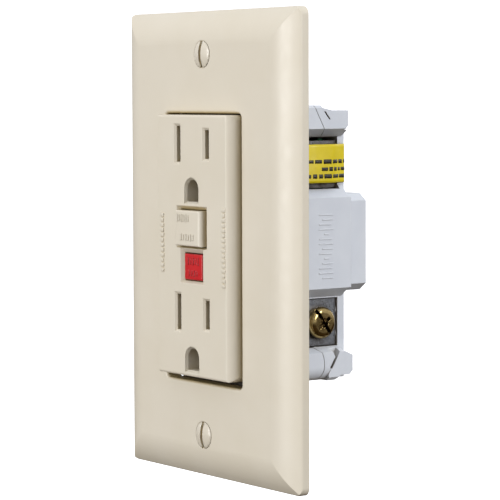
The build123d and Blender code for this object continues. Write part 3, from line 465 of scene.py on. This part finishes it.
# ---- the yellow tape over the load terminals ----
class TapePath:
    """The tape's middle line for one side, in (x, y): from the rear's middle, round the corner and
    over the screw to its front end."""

    STEP = 0.25 * MM

    def __init__(self):
        rear = [(x * MM, TAPE_REAR) for x in (0.0, 6.0, 12.0, 17.0)]
        corner = [(18.35 * MM, TAPE_REAR - 0.04 * MM), (18.74 * MM, TAPE_REAR - 0.42 * MM)]
        side = [
            (19.30 * MM, 23.60 * MM), (20.00 * MM, 22.00 * MM), (20.50 * MM, 20.60 * MM),
            (20.66 * MM, 19.0 * MM), (20.66 * MM, 16.0 * MM), (20.56 * MM, 14.2 * MM), (19.80 * MM, 9.4 * MM),
        ]
        self.points = self.through(rear + corner + side)
        self.lengths = [0.0]
        for a, b in zip(self.points, self.points[1:]):
            self.lengths.append(self.lengths[-1] + (b - a).length)
        self.total = self.lengths[-1]

    def through(self, knots):
        """A smooth line through the knots, in even short steps."""
        knots = [Vector(k) for k in knots]
        knots = [2 * knots[0] - knots[1]] + knots + [2 * knots[-1] - knots[-2]]
        line = []
        for a, b, c, d in zip(knots, knots[1:], knots[2:], knots[3:]):
            count = max(2, int((c - b).length / self.STEP))
            for k in range(count):
                t = k / count
                bend = (c - a) * t + (2 * a - 5 * b + 4 * c - d) * t * t + (3 * b - a - 3 * c + d) * t**3
                line.append(b + 0.5 * bend)
        return line + [knots[-2]]

    def at(self, run):
        """The point and the outward direction a distance along the line."""
        run = min(max(run, 0.0), self.total)
        index = 0
        while index < len(self.lengths) - 2 and self.lengths[index + 1] < run:
            index += 1
        a, b = self.points[index], self.points[index + 1]
        share = (run - self.lengths[index]) / (self.lengths[index + 1] - self.lengths[index])
        along = (b - a).normalized()
        return a.lerp(b, share), Vector((-along.y, along.x))


TAPE = TapePath()


def tape_point(side, run, z, lift):
    """A point on the tape: run along its line, at height z, lifted off its middle."""
    point, outward = TAPE.at(run)
    ripple = 0.035 * MM * math.sin(run / (1.7 * MM) + z / (2.9 * MM)) * math.sin(z / (1.3 * MM) + 1.0)
    past_corner = (run - 19 * MM) / (3 * MM)
    ripple *= min(1.0, max(0.0, past_corner))
    place = point + outward * (lift + ripple)
    return (side * place.x, place.y, z)


def tape_sheet(name, side, run_span, z_span, lift_span, steps, rows, material):
    """A closed sheet that follows the tape's line."""

    def surface(lift):
        def place(i, j):
            run = run_span[0] + (run_span[1] - run_span[0]) * i / steps
            z = z_span[0] + (z_span[1] - z_span[0]) * j / rows
            return tape_point(side, run, z, lift)

        return place

    inner, outer = lift_span
    points, faces = closed_grid(steps, rows, surface(outer), surface(inner))
    piece = new_piece(name, points, faces, material)
    tidy_normals(piece)
    return piece


def join(name, pieces):
    """Joins pieces into one object."""
    mesh = bmesh.new()
    for piece in pieces:
        mesh.from_mesh(piece.data)
    first = pieces[0]
    mesh.to_mesh(first.data)
    mesh.free()
    for piece in pieces[1:]:
        bpy.data.objects.remove(piece)
    first.name = name
    return first


def tape_bars(side, dice):
    """Three rows of plain dark bars in the tape's lower half, in place of any wording."""
    lift = (0.5 * TAPE_FILM + 0.004 * MM, 0.5 * TAPE_FILM + 0.022 * MM)
    bars = []
    for row, (middle, first, last) in enumerate(BAR_ROWS):
        run = TAPE.total * first + 0.4 * MM
        while run < TAPE.total * last - 1.2 * MM:
            length = dice.uniform(*BAR_LENGTHS) * MM
            end = min(run + length, TAPE.total * last - 0.3 * MM)
            height = dice.uniform(*BAR_HALF_HEIGHTS) * MM
            span = (middle * MM - height, middle * MM + height)
            steps = max(2, int((end - run) / (0.3 * MM)))
            ink = MATERIALS["tape_ink"]
            bars.append(tape_sheet(f"bar_{row}", side, (run, end), span, lift, steps, 1, ink))
            run = end + dice.uniform(*BAR_GAPS) * MM
    return bars


def load_tape():
    """The tape in two halves that meet behind, each with its own printed bars."""
    dice = random.Random(11)
    film = (-0.5 * TAPE_FILM, 0.5 * TAPE_FILM)
    for name, side in (("hot", 1), ("neutral", -1)):
        half = tape_sheet(
            f"tape_{name}_half", side, (0.0, TAPE.total), (TAPE_LOW, TAPE_HIGH), film, TAPE_STEPS, TAPE_ROWS,
            MATERIALS["yellow_tape"],
        )
        printing = join(f"tape_{name}_bars", tape_bars(side, dice))
        for piece in (half, printing):
            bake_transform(piece)
        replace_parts(half, "load_terminal_tape")


# ---- threads ----
def thread(radius, span, z):
    """The points and faces of a closed threaded rod along Y, with a tapered tip at the far end."""
    around = THREAD_AROUND
    low, high = span
    rows = int((high - low) / THREAD_PITCH * THREAD_STEPS)
    taper = 1.2 * THREAD_PITCH
    points = []
    for row in range(rows + 1):
        y = low + (high - low) * row / rows
        for index in range(around):
            turn = index / around
            wave = abs(2 * ((y / THREAD_PITCH + turn) % 1.0) - 1)
            groove = min(1.0, max(0.0, 1.6 * wave - 0.3))
            reach = radius - THREAD_DEPTH * groove - 0.5 * max(0.0, y - (high - taper))
            angle = 2 * math.pi * turn
            points.append((reach * math.cos(angle), y, z + reach * math.sin(angle)))
    faces = [tuple(range(around)), tuple(rows * around + index for index in reversed(range(around)))]
    for row in range(rows):
        for index in range(around):
            here, beside = row * around + index, row * around + (index + 1) % around
            faces.append((here, here + around, beside + around, beside))
    return points, faces


def as_piece(name, mesh, slot):
    """Turns an edited mesh into a piece that rides on the root, smooth except at its sharp edges."""
    bmesh.ops.recalc_face_normals(mesh, faces=mesh.faces)
    data = bpy.data.meshes.new(name)
    mesh.to_mesh(data)
    mesh.free()
    data.materials.append(MATERIALS[slot])
    data.polygons.foreach_set("use_smooth", [True] * len(data.polygons))
    data.set_sharp_from_angle(angle=math.radians(35))
    piece = bpy.data.objects.new(name, data)
    bpy.context.collection.objects.link(piece)
    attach(piece, "root")
    return piece


def threaded_screws(node, slot, cut, radius, height):
    """Keeps the heads of a pair of screws and gives their shanks 6-32 threads behind the cut."""
    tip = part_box(node)[1][1]
    heads = bmesh.new()
    heads.from_mesh(frame["nodes"][node].data)
    bmesh.ops.remove_doubles(heads, verts=heads.verts, dist=0.001 * MM)
    everything = heads.verts[:] + heads.edges[:] + heads.faces[:]
    bmesh.ops.bisect_plane(
        heads, geom=everything, plane_co=(0.0, cut, 0.0), plane_no=(0.0, 1.0, 0.0), clear_outer=True
    )
    bmesh.ops.holes_fill(heads, edges=[edge for edge in heads.edges if edge.is_boundary])
    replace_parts(as_piece(f"{node}_heads", heads, slot), node)
    shanks = bmesh.new()
    for z in (height, -height):
        points, faces = thread(radius - 0.01 * MM, (cut - 0.1 * MM, tip), z)
        made = [shanks.verts.new(point) for point in points]
        for face in faces:
            shanks.faces.new([made[index] for index in face])
    as_piece(f"{node}_threads", shanks, "zinc_steel")


def screw_threads():
    threaded_screws("mounting_screws", "zinc_steel", BOX_SCREW_CUT, BOX_SCREW_RADIUS, BOX_SCREW_Z)
    threaded_screws("plate_screws", "ivory_paint", PLATE_SCREW_CUT, PLATE_SCREW_RADIUS, PLATE_SCREW_Z)


# ---- coil springs ----
def live_springs():
    """Gives each coil spring a piece of its own, made from a copy of its part."""
    springs = (
        ("reset_spring", "reset_button", (0.0, -1.0, 0.0)),
        ("test_spring", "test_button", (0.0, -1.0, 0.0)),
        ("carrier_springs", "contact_carrier", (0.0, 1.0, 0.0)),
        ("plunger_spring", "solenoid_plunger", (0.0, 0.0, 1.0)),
    )
    for node, body, way in springs:
        piece = bpy.data.objects.new(f"{node}_coils", frame["nodes"][node].data.copy())
        bpy.context.collection.objects.link(piece)
        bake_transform(piece)
        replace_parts(piece, node)


# ---- plain raised marks ----
def rounded_bars(name, boxes, slot):
    """Small raised bars with rounded edges, all in one piece; each box is (centre, half sizes)."""
    mesh = bmesh.new()
    for centre, half in boxes:
        result = bmesh.ops.create_cube(mesh, size=1.0)
        scale = Matrix.Diagonal((2 * half[0], 2 * half[1], 2 * half[2], 1.0))
        bmesh.ops.transform(mesh, matrix=Matrix.Translation(centre) @ scale, verts=result["verts"])
    bmesh.ops.bevel(
        mesh, geom=mesh.edges[:], offset=0.05 * MM, segments=2, profile=0.5, affect="EDGES",
        clamp_overlap=True,
    )
    data = bpy.data.meshes.new(name)
    mesh.to_mesh(data)
    mesh.free()
    data.materials.append(MATERIALS[slot])
    for polygon in data.polygons:
        polygon.use_smooth = True
    piece = bpy.data.objects.new(name, data)
    bpy.context.collection.objects.link(piece)
    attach(piece, "root")


def face_marks():
    """Two upright columns of raised bars beside the buttons."""
    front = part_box("front_cover")[0][1]
    boxes = []
    for x, top, bottom, count in FACE_COLUMNS:
        pitch = (top - bottom) / count
        for index in range(count):
            z = top - pitch * (index + 0.5)
            reach = FACE_MARK_REACHES[index % len(FACE_MARK_REACHES)]
            boxes.append(((x * MM, front - 0.04 * MM, z * MM), (reach * MM, 0.20 * MM, 0.36 * pitch * MM)))
    rounded_bars("face_marks", boxes, "ivory_plastic")


def housing_marks():
    """Faint raised lines on the side of the rear housing."""
    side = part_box("rear_housing")[1][0]
    boxes = []
    for index in range(HOUSING_MARKS):
        z = (HOUSING_MARK_TOP - HOUSING_MARK_SPAN * index / (HOUSING_MARKS - 1)) * MM
        middle, half = HOUSING_MARK_SHAPES[index % len(HOUSING_MARK_SHAPES)]
        if index in HOUSING_SHORT_MARKS:
            middle, half = HOUSING_SHORT_SHAPE
        boxes.append(((side, middle * MM, z), (0.11 * MM, half * MM, 0.16 * MM)))
    rounded_bars("housing_marks", boxes, "white_plastic")


# ---- room ----
def camera():
    data = bpy.data.cameras.new("camera")
    data.lens = CAMERA_LENS
    data.sensor_width = 36.0
    view = bpy.data.objects.new("camera", data)
    bpy.context.collection.objects.link(view)
    turn = Matrix.Rotation(math.radians(CAMERA_YAW), 4, "Z")
    tilt = Matrix.Rotation(math.radians(90 - CAMERA_PITCH), 4, "X")
    roll = Matrix.Rotation(math.radians(CAMERA_ROLL), 4, "Z")
    view.matrix_world = Matrix.Translation(CAMERA_PLACE) @ turn @ tilt @ roll
    bpy.context.scene.camera = view


def softbox(name, place, size, power):
    """A square lamp that faces the object."""
    data = bpy.data.lights.new(name, "AREA")
    data.shape = "SQUARE"
    data.size = size
    data.energy = power
    lamp = bpy.data.objects.new(name, data)
    lamp.location = place
    lamp.rotation_euler = (-Vector(place)).to_track_quat("-Z", "Y").to_euler()
    bpy.context.collection.objects.link(lamp)


def floor():
    """A round sweep: flat under the object, then rising to a wall. It lights nothing but itself."""
    rings, spokes = 24, 96
    points = [(0.0, 0.0, 0.0)]
    for ring in range(rings + 1):
        share = ring / rings
        radius = FLOOR_FLAT + (FLOOR_RIM - FLOOR_FLAT) * math.sin(0.5 * math.pi * share)
        height = (FLOOR_RIM - FLOOR_FLAT) * (1 - math.cos(0.5 * math.pi * share))
        for spoke in range(spokes):
            turn = 2 * math.pi * spoke / spokes
            points.append((radius * math.cos(turn), radius * math.sin(turn), height))
    faces = [(0, 1 + spoke, 1 + (spoke + 1) % spokes) for spoke in range(spokes)]
    for ring in range(rings):
        for spoke in range(spokes):
            low, beside = 1 + ring * spokes + spoke, 1 + ring * spokes + (spoke + 1) % spokes
            faces.append((low, low + spokes, beside + spokes, beside))
    sweep = new_piece("floor", points, faces, floor_finish().material)
    sweep.location.z = CAD_BOX[0][2] - FLOOR_DROP
    sweep.visible_diffuse = False
    sweep.visible_glossy = False


def sky():
    """White to the camera; as a light it fades from pale above to dark brown below."""
    world = bpy.data.worlds.new("studio")
    bpy.context.scene.world = world
    world.use_nodes = True
    tree = world.node_tree
    background = tree.nodes["Background"]
    direction = tree.nodes.new("ShaderNodeTexCoord")
    parts = tree.nodes.new("ShaderNodeSeparateXYZ")
    height = tree.nodes.new("ShaderNodeMapRange")
    height.inputs["From Min"].default_value = -1.0
    ramp = tree.nodes.new("ShaderNodeValToRGB")
    stops = ramp.color_ramp.elements
    stops[0].position, stops[0].color = 0.42, (*WORLD_LOW, 1.0)
    stops[1].position, stops[1].color = 1.0, (*WORLD_HIGH, 1.0)
    middle = stops.new(0.50)
    middle.color = (*WORLD_LEVEL, 1.0)
    path = tree.nodes.new("ShaderNodeLightPath")
    choice = tree.nodes.new("ShaderNodeMix")
    choice.data_type = "RGBA"
    choice.inputs[7].default_value = (1.0, 1.0, 1.0, 1.0)
    tree.links.new(direction.outputs["Generated"], parts.inputs[0])
    tree.links.new(parts.outputs["Z"], height.inputs["Value"])
    tree.links.new(height.outputs[0], ramp.inputs[0])
    tree.links.new(ramp.outputs[0], choice.inputs[6])
    tree.links.new(path.outputs["Is Camera Ray"], choice.inputs[0])
    tree.links.new(choice.outputs[2], background.inputs["Color"])


def studio():
    camera()
    floor()
    sky()
    for lamp in LAMPS:
        softbox(*lamp)
    bpy.context.scene.view_settings.view_transform = "Standard"


dress_nodes()
load_tape()
screw_threads()
live_springs()
face_marks()
housing_marks()
studio()
